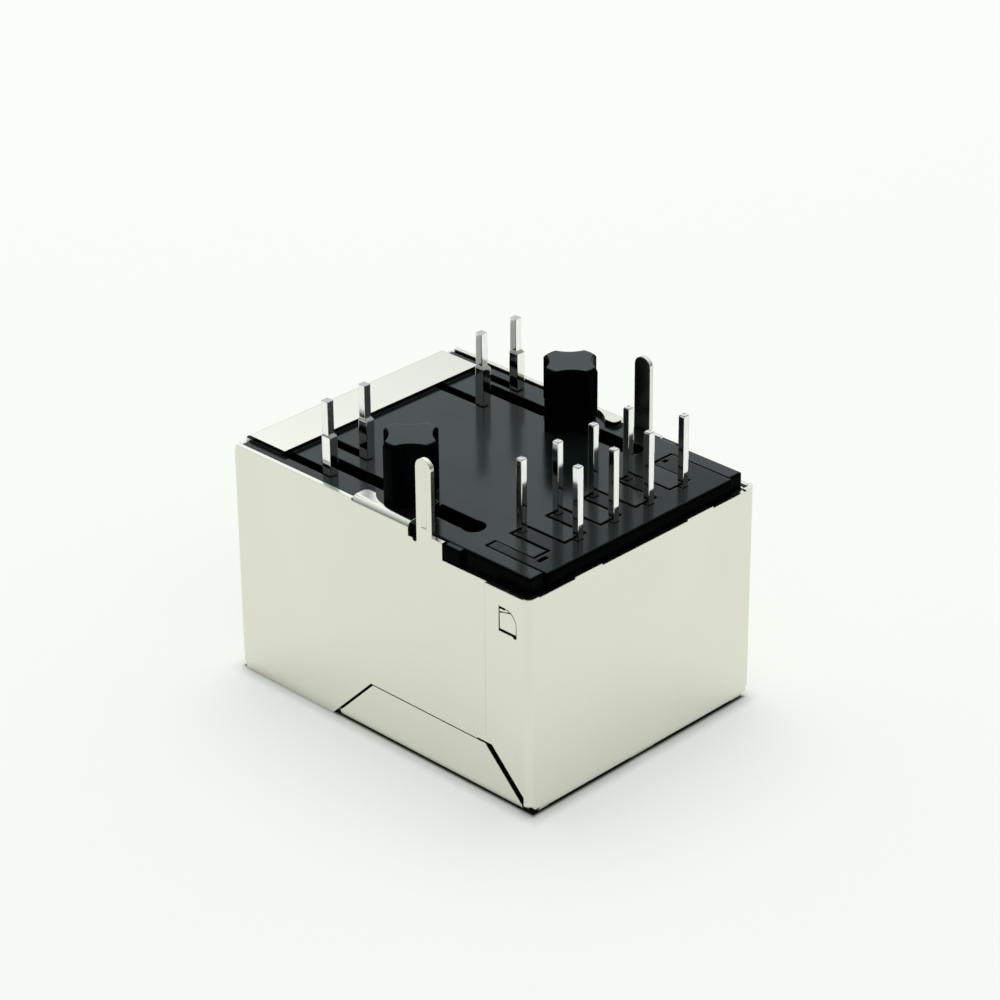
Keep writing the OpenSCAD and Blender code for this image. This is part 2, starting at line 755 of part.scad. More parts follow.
// Block with a tongue that carries the contacts forward under the cavity
module contact_block() color([0.13, 0.13, 0.14]) {
    half = block_w / 2;
    nose = bend_r;
    under = floor_run_z + contact_t / 2 + mould_gap;
    pin_gap = pin_w + 0.3;
    difference() {
        union() {
            bevelled_block([-half, module_y, sheet_t + fit_gap], [half, module_end_y, block_top_z], edge_bevel);
            bevelled_block([-tongue_w / 2, tongue_y, sheet_t + fit_gap], [tongue_w / 2, module_y + cut, cavity_z], edge_bevel);
        }
        for (k = [0:7]) {
            contact_strip(k, mould_gap);
            // open groove under each strip
            block([contact_x(k) - contact_w / 2 - mould_gap, tongue_y - cut, 0],
                  [contact_x(k) + contact_w / 2 + mould_gap, tail_y[k % 2] - 2 * bend_r, under]);
        }
        // wells for the ends of the signal pins
        at_pins() translate([-pin_gap / 2, -pin_gap / 2, board_z - 0.6]) cube([pin_gap, pin_gap, cut]);
    }
}

// ---- circuit board and what it carries -------------------------------------------------

module circuit_board() color([0.1, 0.32, 0.16]) {
    half = block_w / 2;
    hole_d = pin_w * 1.6;
    slot = [contact_w + 0.12, contact_t + 0.12];
    difference() {
        block([-half, module_y, board_z], [half, module_end_y, board_top_z]);
        at_pins() translate([0, 0, board_z - cut]) cylinder(d = hole_d, h = board_t + 2 * cut);
        for (k = [0:7])
            translate([contact_x(k) - slot[0] / 2, tail_y[k % 2] - slot[1] / 2, board_z - cut])
                cube([slot[0], slot[1], board_t + 2 * cut]);
    }
}

// Chip part standing on the circuit board, with a metal cap at both ends in its outline. It lies in
// the middle of a number of equal shares of the tray's width.
module chip(first, shares, size) {
    share = tray_w / 6;
    x = -tray_w / 2 + (first + shares / 2) * share;
    y = (front_row_y + rear_row_y) / 2;
    cap = size[0] * 0.18;
    proud = 0.03;
    translate([x, y, board_top_z + fit_gap / 2]) {
        translate([-size[0] / 2, -size[1] / 2 + proud, proud])
            cube([size[0], size[1] - 2 * proud, size[2] - 2 * proud]);
        for (side = [-1, 1])
            translate([side * (size[0] - cap) / 2 - cap / 2, -size[1] / 2, 0])
                cube([cap, size[1], size[2]]);
    }
}

module resistor(k) color([0.12, 0.12, 0.13]) {
    chip(k, 1, [chip_l, chip_w, chip_h]);
}

module capacitor() color([0.62, 0.5, 0.36]) {
    chip(4, 2, [2 * chip_l, 2 * chip_w, 2.6 * chip_h]);
}

// The ring cores hang in a row from the carrier's plate, with their axes along the jack
module at_core(k) {
    reach = core_d / 2 + winding_t;
    y = (module_y + tray_wall + front_row_y - pin_w / 2) / 2;
    translate([(1.5 - k) * tray_w / 4, y, tray_top_z - plate_t - reach])
        rotate([90, 0, 0]) children();
}

module core_outline(grow) {
    width = (core_d - core_hole) / 2;
    translate([core_hole / 2 - grow, -core_h / 2 - grow]) square([width + 2 * grow, core_h + 2 * grow]);
}

module ring_core(k) color([0.2, 0.2, 0.21]) {
    at_core(k) rotate_extrude() core_outline(0);
}

// Winding: a sleeve round most of the ring with its turns standing proud
module winding(k) color([0.66, 0.3, 0.12]) {
    sweep = 300;
    turns = 15;
    wire = 0.22;
    at_core(k) difference() {
        union() {
            rotate([0, 0, -sweep / 2]) rotate_extrude(angle = sweep) core_outline(winding_t * 0.6);
            for (turn = [0:turns - 1])
                rotate([0, 0, (turn + 0.5) * sweep / turns - sweep / 2])
                    rotate([90, 0, 0]) translate([0, 0, -wire / 2]) linear_extrude(wire) core_outline(winding_t);
        }
        rotate_extrude() core_outline(0.02);
    }
}

// ---- lamps -----------------------------------------------------------------------------

module lamp(side, tint) color(tint) {
    front = 0.5;
    x = side * lamp_x;
    block([x - lamp_w / 2, lamp_y, lamp_z], [x + lamp_w / 2, lamp_y + lamp_l, lamp_z + lamp_h]);
    // light face standing in the window of the shield
    window_w = lamp_w - front - 2 * lamp_gap;
    window_h = lamp_h - front - 2 * lamp_gap;
    block([x - window_w / 2, mouth_y + 0.05, lamp_z + (lamp_h - window_h) / 2],
          [x + window_w / 2, lamp_y + 0.01, lamp_z + (lamp_h + window_h) / 2]);
}

// Lamp lead: back from the lamp, then up through the board, wider below a shoulder
module lamp_lead(side, offset) color([0.88, 0.88, 0.86]) {
    x = side * lamp_x + offset * lead_pitch / 2;
    half = lead_w / 2;
    top = shield_h + lead_reach;
    foot_z = face_z + fit_gap;
    shoulder_z = face_z + 2.15;
    shoulder = 0.12;
    wide = half + 0.06;
    deep = half + 0.16;
    line = rounded([[lamp_y + lamp_l, lead_z], [lead_y, lead_z], [lead_y, top]], bend_r);
    translate([x - half, 0, 0])
        along_x() linear_extrude(lead_w) polygon(strip(line, lead_w));
    translate([x, lead_y, 0]) intersection() {
        along_y() translate([0, 0, -half]) linear_extrude(half + deep) polygon([
            [-wide, foot_z], [wide, foot_z], [wide, shoulder_z], [half, shoulder_z + shoulder],
            [-half, shoulder_z + shoulder], [-wide, shoulder_z],
        ]);
        along_x() translate([0, 0, -wide]) linear_extrude(2 * wide) polygon([
            [-half, foot_z], [deep, foot_z], [deep, shoulder_z], [half, shoulder_z + shoulder],
            [-half, shoulder_z + shoulder],
        ]);
    }
}

// ---- nodes -----------------------------------------------------------------------------

shield();
housing();
pin_carrier();
contact_block();
circuit_board();
lamp(1, [0.3, 0.72, 0.3]);  // lamp_left
lamp(-1, [0.86, 0.72, 0.2]);  // lamp_right
lamp_lead(1, 1);  // lamp_lead_1
lamp_lead(1, -1);  // lamp_lead_2
lamp_lead(-1, -1);  // lamp_lead_3
lamp_lead(-1, 1);  // lamp_lead_4
contact(0);  // contact_1
contact(1);  // contact_2
contact(2);  // contact_3
contact(3);  // contact_4
contact(4);  // contact_5
contact(5);  // contact_6
contact(6);  // contact_7
contact(7);  // contact_8
signal_pin(0);  // signal_pin_1
signal_pin(1);  // signal_pin_2
signal_pin(2);  // signal_pin_3
signal_pin(3);  // signal_pin_4
signal_pin(4);  // signal_pin_5
signal_pin(5);  // signal_pin_6
signal_pin(6);  // signal_pin_7
signal_pin(7);  // signal_pin_8
ring_core(0);  // ring_core_1
ring_core(1);  // ring_core_2
ring_core(2);  // ring_core_3
ring_core(3);  // ring_core_4
winding(0);  // winding_1
winding(1);  // winding_2
winding(2);  // winding_3
winding(3);  // winding_4
resistor(0);  // resistor_1
resistor(1);  // resistor_2
resistor(2);  // resistor_3
resistor(3);  // resistor_4
capacitor();
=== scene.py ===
"""Finishes, stage and camera for the shielded board jack."""

import math

import bpy
from bpy.props import FloatProperty, FloatVectorProperty, PointerProperty
from bpy.types import Operator, Panel, PropertyGroup
from mathutils import Matrix, Vector


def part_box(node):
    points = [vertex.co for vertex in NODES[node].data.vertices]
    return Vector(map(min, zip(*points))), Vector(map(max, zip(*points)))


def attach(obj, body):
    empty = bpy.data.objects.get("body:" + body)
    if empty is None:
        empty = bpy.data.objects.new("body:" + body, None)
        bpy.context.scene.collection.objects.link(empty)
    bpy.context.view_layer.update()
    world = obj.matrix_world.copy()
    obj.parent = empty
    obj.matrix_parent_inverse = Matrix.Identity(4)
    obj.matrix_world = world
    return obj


bl_info = {
    "name": "Board jack",
    "version": (1, 0, 0),
    "blender": (4, 5, 0),
    "location": "3D View > Sidebar > Board jack",
    "description": "Finishes, stage and camera for a shielded board jack",
    "category": "Object",
}

MM = 0.001

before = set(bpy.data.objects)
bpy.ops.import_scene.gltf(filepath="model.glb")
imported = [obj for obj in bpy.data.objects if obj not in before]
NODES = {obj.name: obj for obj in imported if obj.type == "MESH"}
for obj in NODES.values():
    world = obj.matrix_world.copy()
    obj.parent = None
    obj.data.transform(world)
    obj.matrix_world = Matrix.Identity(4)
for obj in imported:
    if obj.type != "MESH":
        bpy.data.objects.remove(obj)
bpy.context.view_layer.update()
BOX_LOW, BOX_HIGH = (Vector(corner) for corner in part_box("shield"))


def nodes_named(prefix):
    """The CAD nodes whose names start with the prefix, in name order."""
    return [NODES[name] for name in sorted(NODES) if name.startswith(prefix)]


# ---- settings --------------------------------------------------------------------------


def colour_setting(name, description, default):
    """A setting that holds a colour."""
    return FloatVectorProperty(
        name=name, description=description, default=default, subtype="COLOR", min=0.0, max=1.0
    )


def level_setting(name, description, default, low=0.0, high=1.0):
    """A setting that holds a plain number between two limits."""
    return FloatProperty(name=name, description=description, default=default, min=low, max=high)


def length_setting(name, description, millimetres):
    """A setting that holds a length."""
    return FloatProperty(
        name=name, description=description, default=millimetres * MM,
        subtype="DISTANCE", unit="LENGTH", min=0.0, precision=5,
    )


class JackSheetSettings(PropertyGroup):
    """The plated sheet of the shield"""

    nickel: colour_setting("Nickel", "Colour of the satin nickel", (0.78, 0.757, 0.68))
    roughness: level_setting("Roughness", "Roughness of the satin nickel", 0.2)
    edge_radius: length_setting("Edge radius", "Rounding of the sheared edges", 0.05)


class JackPlasticSettings(PropertyGroup):
    """The black mouldings"""

    black: colour_setting("Black", "Colour of the mouldings", (0.0042, 0.0078, 0.0068))
    sheen: colour_setting("Sheen", "Tint of the reflections", (0.74, 1.0, 0.93))
    roughness: level_setting("Roughness", "Roughness of the flat faces", 0.14)
    ior: level_setting("IOR", "Refractive index of the mouldings", 1.3, 1.0, 2.0)
    edge_radius: length_setting("Edge radius", "Rounding of the moulded edges", 0.13)


class JackPegRootSettings(PropertyGroup):
    """The core that fills the middle of each peg's foot, over the cored groove"""

    across: length_setting("Place across", "Distance of the peg axes from the middle", 5.715)
    along: length_setting("Place along", "Distance of the peg axes behind the middle", 0.215)
    base: length_setting("Base", "Height of the board side of the mouldings", 13.05)
    height: length_setting("Height", "Height of the core", 1.0)
    front_width: length_setting("Front width", "Width of the core ahead of the axis", 0.86)
    rear_width: length_setting("Rear width", "Width of the core behind the axis", 1.1)
    scoop: length_setting("Scoop", "Radius of the hollow at each end of the core", 1.65)
    waist: length_setting("Waist", "Reach of the core from the axis, in the middle of its ends", 1.08)


class JackMetalSettings(PropertyGroup):
    """Pins, leads and contacts"""

    tin: colour_setting("Tin", "Colour of the bright pins", (0.9, 0.9, 0.88))
    gold: colour_setting("Gold", "Colour of the contacts' plating", (0.9, 0.62, 0.25))


class JackLampSettings(PropertyGroup):
    """The two lamps"""

    green: colour_setting("Green", "Colour of the green lamp", (0.12, 0.55, 0.16))
    yellow: colour_setting("Yellow", "Colour of the yellow lamp", (0.85, 0.55, 0.06))


class JackMagneticsSettings(PropertyGroup):
    """The circuit board and what it carries"""

    mask: colour_setting("Solder mask", "Colour of the circuit board", (0.01, 0.14, 0.05))
    ferrite: colour_setting("Ferrite", "Colour of the ring cores", (0.03, 0.03, 0.032))
    copper: colour_setting("Copper", "Colour of the enamelled windings", (0.55, 0.16, 0.05))


class JackStageSettings(PropertyGroup):
    """Floor, light and camera"""

    floor: colour_setting("Floor", "Colour of the floor and the backdrop", (0.93, 0.984, 0.925))
    fill: level_setting("Fill", "Strength of the light from all round", 0.55, 0.0, 4.0)
    key: FloatProperty(
        name="Key", description="Power of the large lamp overhead", default=0.9,
        subtype="POWER", unit="POWER", min=0.0,
    )
    lens: FloatProperty(
        name="Lens", description="Focal length of the camera in millimetres", default=125.53, min=10.0
    )


SETTINGS = {
    "jack_sheet": JackSheetSettings,
    "jack_plastic": JackPlasticSettings,
    "jack_peg_root": JackPegRootSettings,
    "jack_metal": JackMetalSettings,
    "jack_lamps": JackLampSettings,
    "jack_magnetics": JackMagneticsSettings,
    "jack_stage": JackStageSettings,
}


# ---- material helpers ------------------------------------------------------------------


def add_node(tree, kind, **values):
    """A node with the given attributes and input values, spaces written as underscores."""
    node = tree.nodes.new(kind)
    for key, value in values.items():
        socket = node.inputs.get(key.replace("_", " "))
        if socket is None:
            setattr(node, key, value)
        else:
            socket.default_value = value
    return node


class Finish:
    """A node material built around one Principled shader."""

    def __init__(self, name):
        self.material = bpy.data.materials.new(name)
        self.material.use_nodes = True
        self.tree = self.material.node_tree
        self.shader = self.tree.nodes["Principled BSDF"]
        coordinates = self.node("ShaderNodeTexCoord")
        self.place = coordinates.outputs["Object"]
        self.facing = coordinates.outputs["Normal"]

    def node(self, kind, **values):
        """A node of this material with the given attributes and input values."""
        return add_node(self.tree, kind, **values)

    def link(self, source, target):
        """Joins an output to an input."""
        self.tree.links.new(source, target)

    def set(self, **values):
        """Constant values of the shader, by socket name with underscores."""
        for key, value in values.items():
            self.shader.inputs[key.replace("_", " ")].default_value = value

    def drive(self, name, source):
        """Gives one input of the shader a source."""
        self.link(source, self.shader.inputs[name])

    def noise(self, per_mm, detail=3.0, rough=0.55, stretch=(1, 1, 1)):
        """Noise with about this many spots to the millimetre, stretched along each axis."""
        mapping = self.node("ShaderNodeMapping", Scale=stretch)
        self.link(self.place, mapping.inputs["Vector"])
        texture = self.node("ShaderNodeTexNoise", Scale=per_mm / MM, Detail=detail, Roughness=rough)
        self.link(mapping.outputs["Vector"], texture.inputs["Vector"])
        return texture.outputs["Fac"]

    def ranged(self, source, low, high, from_low=0.3, from_high=0.7):
        """The source mapped to run from low to high."""
        change = self.node(
            "ShaderNodeMapRange", From_Min=from_low, From_Max=from_high, To_Min=low, To_Max=high
        )
        self.link(source, change.inputs["Value"])
        return change.outputs["Result"]

    def step(self, source, low, high):
        """Rises from 0 to 1 while the source runs from low to high."""
        return self.ranged(source, 0.0, 1.0, low, high)

    def math(self, operation, first, second=None):
        """The result of an operation on sockets or numbers."""
        result = self.node("ShaderNodeMath", operation=operation)
        for socket, value in zip(result.inputs, (first, second)):
            if isinstance(value, bpy.types.NodeSocket):
                self.link(value, socket)
            elif value is not None:
                socket.default_value = value
        return result.outputs[0]

    def product(self, first, *others):
        """The product of several masks."""
        for other in others:
            first = self.math("MULTIPLY", first, other)
        return first

    def band(self, source, limits, rise, fall=None):
        """1 between the two limits, with soft borders inside them."""
        low, high = limits
        fall = rise if fall is None else fall
        return self.product(self.step(source, low, low + rise), self.step(source, high, high - fall))

    def along(self, source, axis, size=False):
        """One coordinate of a vector, or its size without the sign."""
        split = self.node("ShaderNodeSeparateXYZ")
        self.link(source, split.inputs["Vector"])
        return self.math("ABSOLUTE", split.outputs[axis]) if size else split.outputs[axis]

    def blend(self, factor, first, second):
        """A colour between two colours."""
        mix = self.node("ShaderNodeMix", data_type="RGBA")
        colours = [socket for socket in mix.inputs if socket.type == "RGBA"]
        for socket, value in zip(colours, (first, second)):
            if isinstance(value, bpy.types.NodeSocket):
                self.link(value, socket)
            else:
                socket.default_value = (*value, 1.0)
        self.link(factor, mix.inputs[0])
        return next(socket for socket in mix.outputs if socket.type == "RGBA")

    def rounded_normal(self, radius, samples=6):
        """The normal over edges rounded by the radius."""
        return self.node("ShaderNodeBevel", samples=samples, Radius=radius).outputs["Normal"]

    def relief(self, height, distance, normal, strength=1.0):
        """Bump from a height, on top of a normal that rounds the edges."""
        bump = self.node("ShaderNodeBump", Strength=strength, Distance=distance)
        self.link(height, bump.inputs["Height"])
        self.link(normal, bump.inputs["Normal"])
        self.drive("Normal", bump.outputs["Normal"])


def dress(objects, material):
    """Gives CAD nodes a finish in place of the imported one."""
    for obj in objects:
        for slot in obj.material_slots:
            slot.material = material


def shade(colour, factor):
    """A colour made darker or lighter."""
    return tuple(min(1.0, c * factor) for c in colour)


# ---- finishes --------------------------------------------------------------------------


LIP_EDGES = (13.06 * MM, 13.31 * MM)  # heights of the sheared edges of the lip
LIP_HALF = 7.45 * MM  # half width between the folds of the side walls
WING_SLITS = ((9.9 * MM, 10.2 * MM), (11.02 * MM, 11.35 * MM))  # heights below and above the catch
CATCH_LENGTH = (8.55 * MM, 9.98 * MM)  # ends of the slits along the part
CATCH_DEPTH = (7.9 * MM, 8.19 * MM)  # from inside the side wall to just under the wing's face
CORNER_REACH = (0.45 * MM, 0.1 * MM)  # the folds at the corners, inwards from the sides
SOFT = 0.05 * MM  # soft border of a mask
# near black of the painted shade in the sheared edges and the slits
PAINTED_SHADE = (0.02, 0.022, 0.02)


def satin_nickel(settings):
    """Nickel-plated sheet: nearly a mirror, with faint rolling lines, handling marks, painted shade
    and painted light.
    """
    finish = Finish("satin_nickel")
    nickel = tuple(settings.nickel)
    finish.set(Metallic=1.0)
    patches = finish.noise(0.18, 4.0, 0.6, (1, 1, 0.5))
    lines = finish.noise(9.0, 2.0, 0.6, (1, 1, 0.02))
    fine = finish.noise(14.0, 4.0, 0.7)
    x, y, z = (finish.along(finish.place, axis) for axis in "XYZ")
    outwards = finish.math("ABSOLUTE", x)
    tint = finish.blend(finish.ranged(patches, 0.0, 1.0), shade(nickel, 0.98), shade(nickel, 1.02))

    # painted shade: the rounded folds at the vertical corners are painted a little darker
    start, end = CORNER_REACH
    corner = finish.product(
        finish.step(outwards, BOX_HIGH.x - start, BOX_HIGH.x - end),
        finish.step(finish.math("ABSOLUTE", y), BOX_HIGH.y - start, BOX_HIGH.y - end),
    )
    tint = finish.blend(corner, tint, shade(nickel, 0.955))

    # painted light and shade: faces that look up are painted darker at one side of the part and
    # lighter at the other
    upward = finish.step(finish.along(finish.facing, "Z"), 0.8, 0.95)
    across = finish.step(x, -BOX_HIGH.x, BOX_HIGH.x)
    tint = finish.blend(upward, tint, finish.blend(across, shade(nickel, 0.87), shade(nickel, 1.04)))

    # painted shade: the sheared edges of the lip and the slits beside the wing's catch are painted
    # near black
    sheared = finish.product(
        finish.band(z, LIP_EDGES, 0.03 * MM),
        finish.step(outwards, LIP_HALF, LIP_HALF - SOFT),
        finish.step(finish.along(finish.facing, "Z", True), 0.6, 0.3),
    )
    slits = finish.product(
        finish.math("ADD", *(finish.band(z, heights, SOFT) for heights in WING_SLITS)),
        finish.band(outwards, CATCH_DEPTH, SOFT, 0.03 * MM),
        finish.band(y, CATCH_LENGTH, SOFT),
    )
    tint = finish.blend(finish.math("MAXIMUM", sheared, slits), tint, PAINTED_SHADE)

    finish.drive("Base Color", tint)
    rough = settings.roughness
    finish.drive("Roughness", finish.ranged(patches, rough * 0.85, rough * 1.2))
    height = finish.math("ADD", finish.ranged(lines, 0.0, 0.5), finish.ranged(fine, 0.0, 0.5))
    finish.relief(height, 0.0008 * MM, finish.rounded_normal(settings.edge_radius))
    return finish.material


def moulded_black(settings, name, gloss=1.0):
    """Black nylon: glossy on the flat board side; its walls and edges are painted darker, as painted
    shade, and made dull.
    """
    finish = Finish(name)
    black = tuple(settings.black)
    finish.set(IOR=settings.ior, Specular_Tint=(*settings.sheen, 1.0))
    flow = finish.noise(0.35, 3.0, 0.6)
    grain = finish.noise(22.0, 3.0, 0.6)
    normal = finish.rounded_normal(settings.edge_radius, samples=8)
    flat = finish.step(finish.along(normal, "Z"), 0.8, 0.99)
    tint = finish.blend(finish.ranged(flow, 0.0, 1.0), shade(black, 0.8), shade(black, 1.25))
    # painted shade: walls and rounded edges get a far darker colour than the flat faces
    finish.drive("Base Color", finish.blend(flat, shade(black, 0.15), tint))
    level = finish.ranged(flow, 0.48 * gloss, 0.56 * gloss)
    dulled = finish.ranged(flat, 0.04, 1.0, 0.0, 1.0)
    finish.drive("Specular IOR Level", finish.product(level, dulled))
    rough = settings.roughness
    finish.drive("Roughness", finish.ranged(flow, rough * 0.85, rough * 1.2))
    finish.relief(grain, 0.0012 * MM, normal)
    return finish.material


TIP_START = 16.95 * MM  # height over which a face that looks up is a cropped tip
SHOULDER_END = 15.5 * MM  # height under which it is a shoulder of a lamp lead


def bright_metal(name, colour, roughness, edge_radius=0.04 * MM, painted_tail_shade=False):
    """Plated pin or contact: bright, with faint drawing marks along its length."""
    finish = Finish(name)
    finish.set(Metallic=1.0)
    marks = finish.noise(12.0, 3.0, 0.6, (1, 1, 0.08))
    tint = finish.blend(finish.ranged(marks, 0.0, 1.0), shade(colour, 0.9), shade(colour, 1.04))
    if painted_tail_shade:
        # painted shade: the cropped tips and the sloped shoulders are painted darker than the drawn
        # faces
        z = finish.along(finish.place, "Z")
        upward = finish.along(finish.facing, "Z")
        cropped = finish.product(
            finish.step(z, TIP_START, TIP_START + 0.1 * MM), finish.step(upward, 0.9, 0.97)
        )
        shoulder = finish.product(
            finish.step(z, SHOULDER_END, SHOULDER_END - 0.1 * MM), finish.step(upward, 0.4, 0.6)
        )
        tint = finish.blend(cropped, tint, shade(colour, 0.5))
        tint = finish.blend(shoulder, tint, shade(colour, 0.35))
    finish.drive("Base Color", tint)
    finish.drive("Roughness", finish.ranged(marks, roughness * 0.7, roughness * 1.5))
    finish.relief(marks, 0.001 * MM, finish.rounded_normal(edge_radius))
    return finish.material


def clear_tinted(name, colour):
    """Tinted epoxy of a lamp."""
    finish = Finish(name)
    cloud = finish.noise(0.8, 2.0, 0.5)
    tint = finish.blend(finish.ranged(cloud, 0.0, 1.0), shade(colour, 0.85), shade(colour, 1.1))
    finish.drive("Base Color", tint)
    finish.set(Roughness=0.12, IOR=1.52, Subsurface_Weight=0.25, Subsurface_Scale=0.6 * MM)
    finish.relief(cloud, 0.01 * MM, finish.rounded_normal(0.05 * MM))
    return finish.material


def masked_laminate(settings):
    """Green solder mask over a woven laminate."""
    finish = Finish("masked_laminate")
    mask = tuple(settings.mask)
    weave = finish.node("ShaderNodeTexChecker", Scale=2.5 / MM)
    finish.link(finish.place, weave.inputs["Vector"])
    cloud = finish.noise(1.5, 3.0, 0.6)
    tint = finish.blend(finish.ranged(cloud, 0.0, 1.0), shade(mask, 0.8), shade(mask, 1.3))
    finish.drive("Base Color", tint)
    finish.set(Roughness=0.3)
    finish.relief(weave.outputs["Fac"], 0.004 * MM, finish.rounded_normal(0.03 * MM), strength=0.6)
    return finish.material


def sintered(name, colour):
    """Fired ferrite with a fine grain."""
    finish = Finish(name)
    grain = finish.noise(25.0, 4.0, 0.7)
    tint = finish.blend(finish.ranged(grain, 0.0, 1.0), shade(colour, 0.75), shade(colour, 1.3))
    finish.drive("Base Color", tint)
    finish.set(Roughness=0.7)
    finish.relief(grain, 0.006 * MM, finish.rounded_normal(0.05 * MM))
    return finish.material


def chip_part(name, body, x_low, x_high, cap):
    """Chip part: ceramic in the middle, tinned over the length of a cap at both ends."""
    finish = Finish(name)
    middle = (x_low + x_high) / 2
    away = finish.math("ABSOLUTE", finish.math("SUBTRACT", finish.along(finish.place, "X"), middle))
    edge = (x_high - x_low) / 2 - cap
    ends = finish.step(away, edge - 0.01 * MM, edge + 0.01 * MM)
    finish.drive("Base Color", finish.blend(ends, body, (0.8, 0.8, 0.78)))
    finish.drive("Metallic", ends)
    finish.drive("Roughness", finish.ranged(ends, 0.6, 0.3, 0.0, 1.0))
    finish.relief(finish.noise(20.0), 0.004 * MM, finish.rounded_normal(0.04 * MM))
    return finish.material


# ---- operators -------------------------------------------------------------------------


class JACK_OT_shield(Operator):
    """Finishes the folded shield in satin nickel"""

    bl_idname = "jack.shield"
    bl_label = "Shield"

    def execute(self, context):
        dress([NODES["shield"]], satin_nickel(context.scene.jack_sheet))
        return {"FINISHED"}


class JACK_OT_mouldings(Operator):
    """Finishes the housing, the pin carrier and the contact block in black nylon"""

    bl_idname = "jack.mouldings"
    bl_label = "Mouldings"

    def execute(self, context):
        settings = context.scene.jack_plastic
        dress([NODES["housing"]], moulded_black(settings, "moulded_housing"))
        dress([NODES["pin_carrier"]], moulded_black(settings, "moulded_carrier", gloss=0.52))
        dress([NODES["contact_block"]], moulded_black(settings, "moulded_block"))
        return {"FINISHED"}


class JACK_OT_peg_roots(Operator):
    """Fills the middle of the two pegs' feet, over the cored groove"""

    bl_idname = "jack.peg_roots"
    bl_label = "Peg roots"

    def execute(self, context):
        settings = context.scene.jack_peg_root
        black = NODES["housing"].material_slots[0].material
        for side, name in ((-1, "peg_root_left"), (1, "peg_root_right")):
            root = add_peg_root(name, side, settings)
            root.data.materials.append(black)
            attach(root, "root")
        return {"FINISHED"}


class JACK_OT_pins(Operator):
    """Finishes the signal pins and lamp leads in bright tin and the contacts in gold"""

    bl_idname = "jack.pins"
    bl_label = "Pins and contacts"

    def execute(self, context):
        settings = context.scene.jack_metal
        # the tin gets painted shade on the cropped tips and the shoulders of the tails
        tin = bright_metal("bright_tin", tuple(settings.tin), 0.07, 0.06 * MM, painted_tail_shade=True)
        dress(nodes_named("signal_pin_") + nodes_named("lamp_lead_"), tin)
        gold = bright_metal("gold_plating", tuple(settings.gold), 0.16)
        dress([obj for obj in nodes_named("contact_") if obj.name != "contact_block"], gold)
        return {"FINISHED"}


class JACK_OT_lamps(Operator):
    """Finishes the two lamps in tinted epoxy"""

    bl_idname = "jack.lamps"
    bl_label = "Lamps"

    def execute(self, context):
        settings = context.scene.jack_lamps
        dress([NODES["lamp_left"]], clear_tinted("green_epoxy", tuple(settings.green)))
        dress([NODES["lamp_right"]], clear_tinted("yellow_epoxy", tuple(settings.yellow)))
        return {"FINISHED"}


class JACK_OT_magnetics(Operator):
    """Finishes the circuit board, the ring cores, their windings and the chip parts"""

    bl_idname = "jack.magnetics"
    bl_label = "Magnetics"

    def execute(self, context):
        settings = context.scene.jack_magnetics
        dress([NODES["circuit_board"]], masked_laminate(settings))
        dress(nodes_named("ring_core_"), sintered("ferrite", tuple(settings.ferrite)))
        dress(nodes_named("winding_"), bright_metal("enamelled_copper", tuple(settings.copper), 0.25))
        for obj in nodes_named("resistor_") + nodes_named("capacitor"):
            low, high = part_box(obj.name)
            body = (0.34, 0.24, 0.14) if obj.name == "capacitor" else (0.02, 0.02, 0.022)
            cap = 0.18 * (high.x - low.x)
            dress([obj], chip_part(obj.name + "_finish", body, low.x, high.x, cap))
        return {"FINISHED"}


class JACK_OT_stage(Operator):
    """Adds the floor, the light and the camera"""

    bl_idname = "jack.stage"
    bl_label = "Stage"

    def execute(self, context):
        settings = context.scene.jack_stage
        add_floor(tuple(settings.floor))
        add_world(context.scene, tuple(settings.floor), settings.fill)
        add_lamp(settings.key)
        add_camera(context.scene, settings.lens)
        return {"FINISHED"}


# ---- peg roots -------------------------------------------------------------------------


def scooped_end(width, direction, settings, steps=8):
    """Points across one end of a core, which is a hollow arc."""
    centre = settings.waist + settings.scoop
    places = [width * (i / steps - 0.5) for i in range(steps + 1)]
    return [
        (direction * x, -direction * (centre - math.sqrt(settings.scoop**2 - x**2))) for x in places
    ]


def add_peg_root(name, side, settings):
    """One core: a prism as wide as the groove, through the axis of the peg."""
    outline = (
        scooped_end(settings.front_width, 1, settings)
        + [(settings.front_width / 2, 0), (settings.rear_width / 2, 0)]
        + scooped_end(settings.rear_width, -1, settings)
        + [(-settings.rear_width / 2, 0), (-settings.front_width / 2, 0)]
    )
    count = len(outline)
    points = [
        (side * settings.across + x, settings.along + y, z)
        for z in (settings.base, settings.base + settings.height)
        for x, y in outline
    ]
    faces = [tuple(reversed(range(count))), tuple(range(count, 2 * count))]
    faces += [(i, (i + 1) % count, (i + 1) % count + count, i + count) for i in range(count)]
    mesh = bpy.data.meshes.new(name)
    mesh.from_pydata(points, [], faces)
    root = bpy.data.objects.new(name, mesh)
    bpy.context.scene.collection.objects.link(root)
    return root


# ---- stage -----------------------------------------------------------------------------


def add_floor(colour):
    """A wide pale floor just under the part, which keeps its shadow, and a painted shadow beneath the
    part that makes the dark line under it.
    """
    reach = 1.5
    mesh = bpy.data.meshes.new("floor")
    corners = [(-reach, -reach, 0), (reach, -reach, 0), (reach, reach, 0), (-reach, reach, 0)]
    mesh.from_pydata(corners, [], [(0, 1, 2, 3)])
    floor = bpy.data.objects.new("floor", mesh)
    bpy.context.scene.collection.objects.link(floor)
    floor.location.z = BOX_LOW.z - 0.04 * MM
    mesh.materials.append(pale_floor(colour))


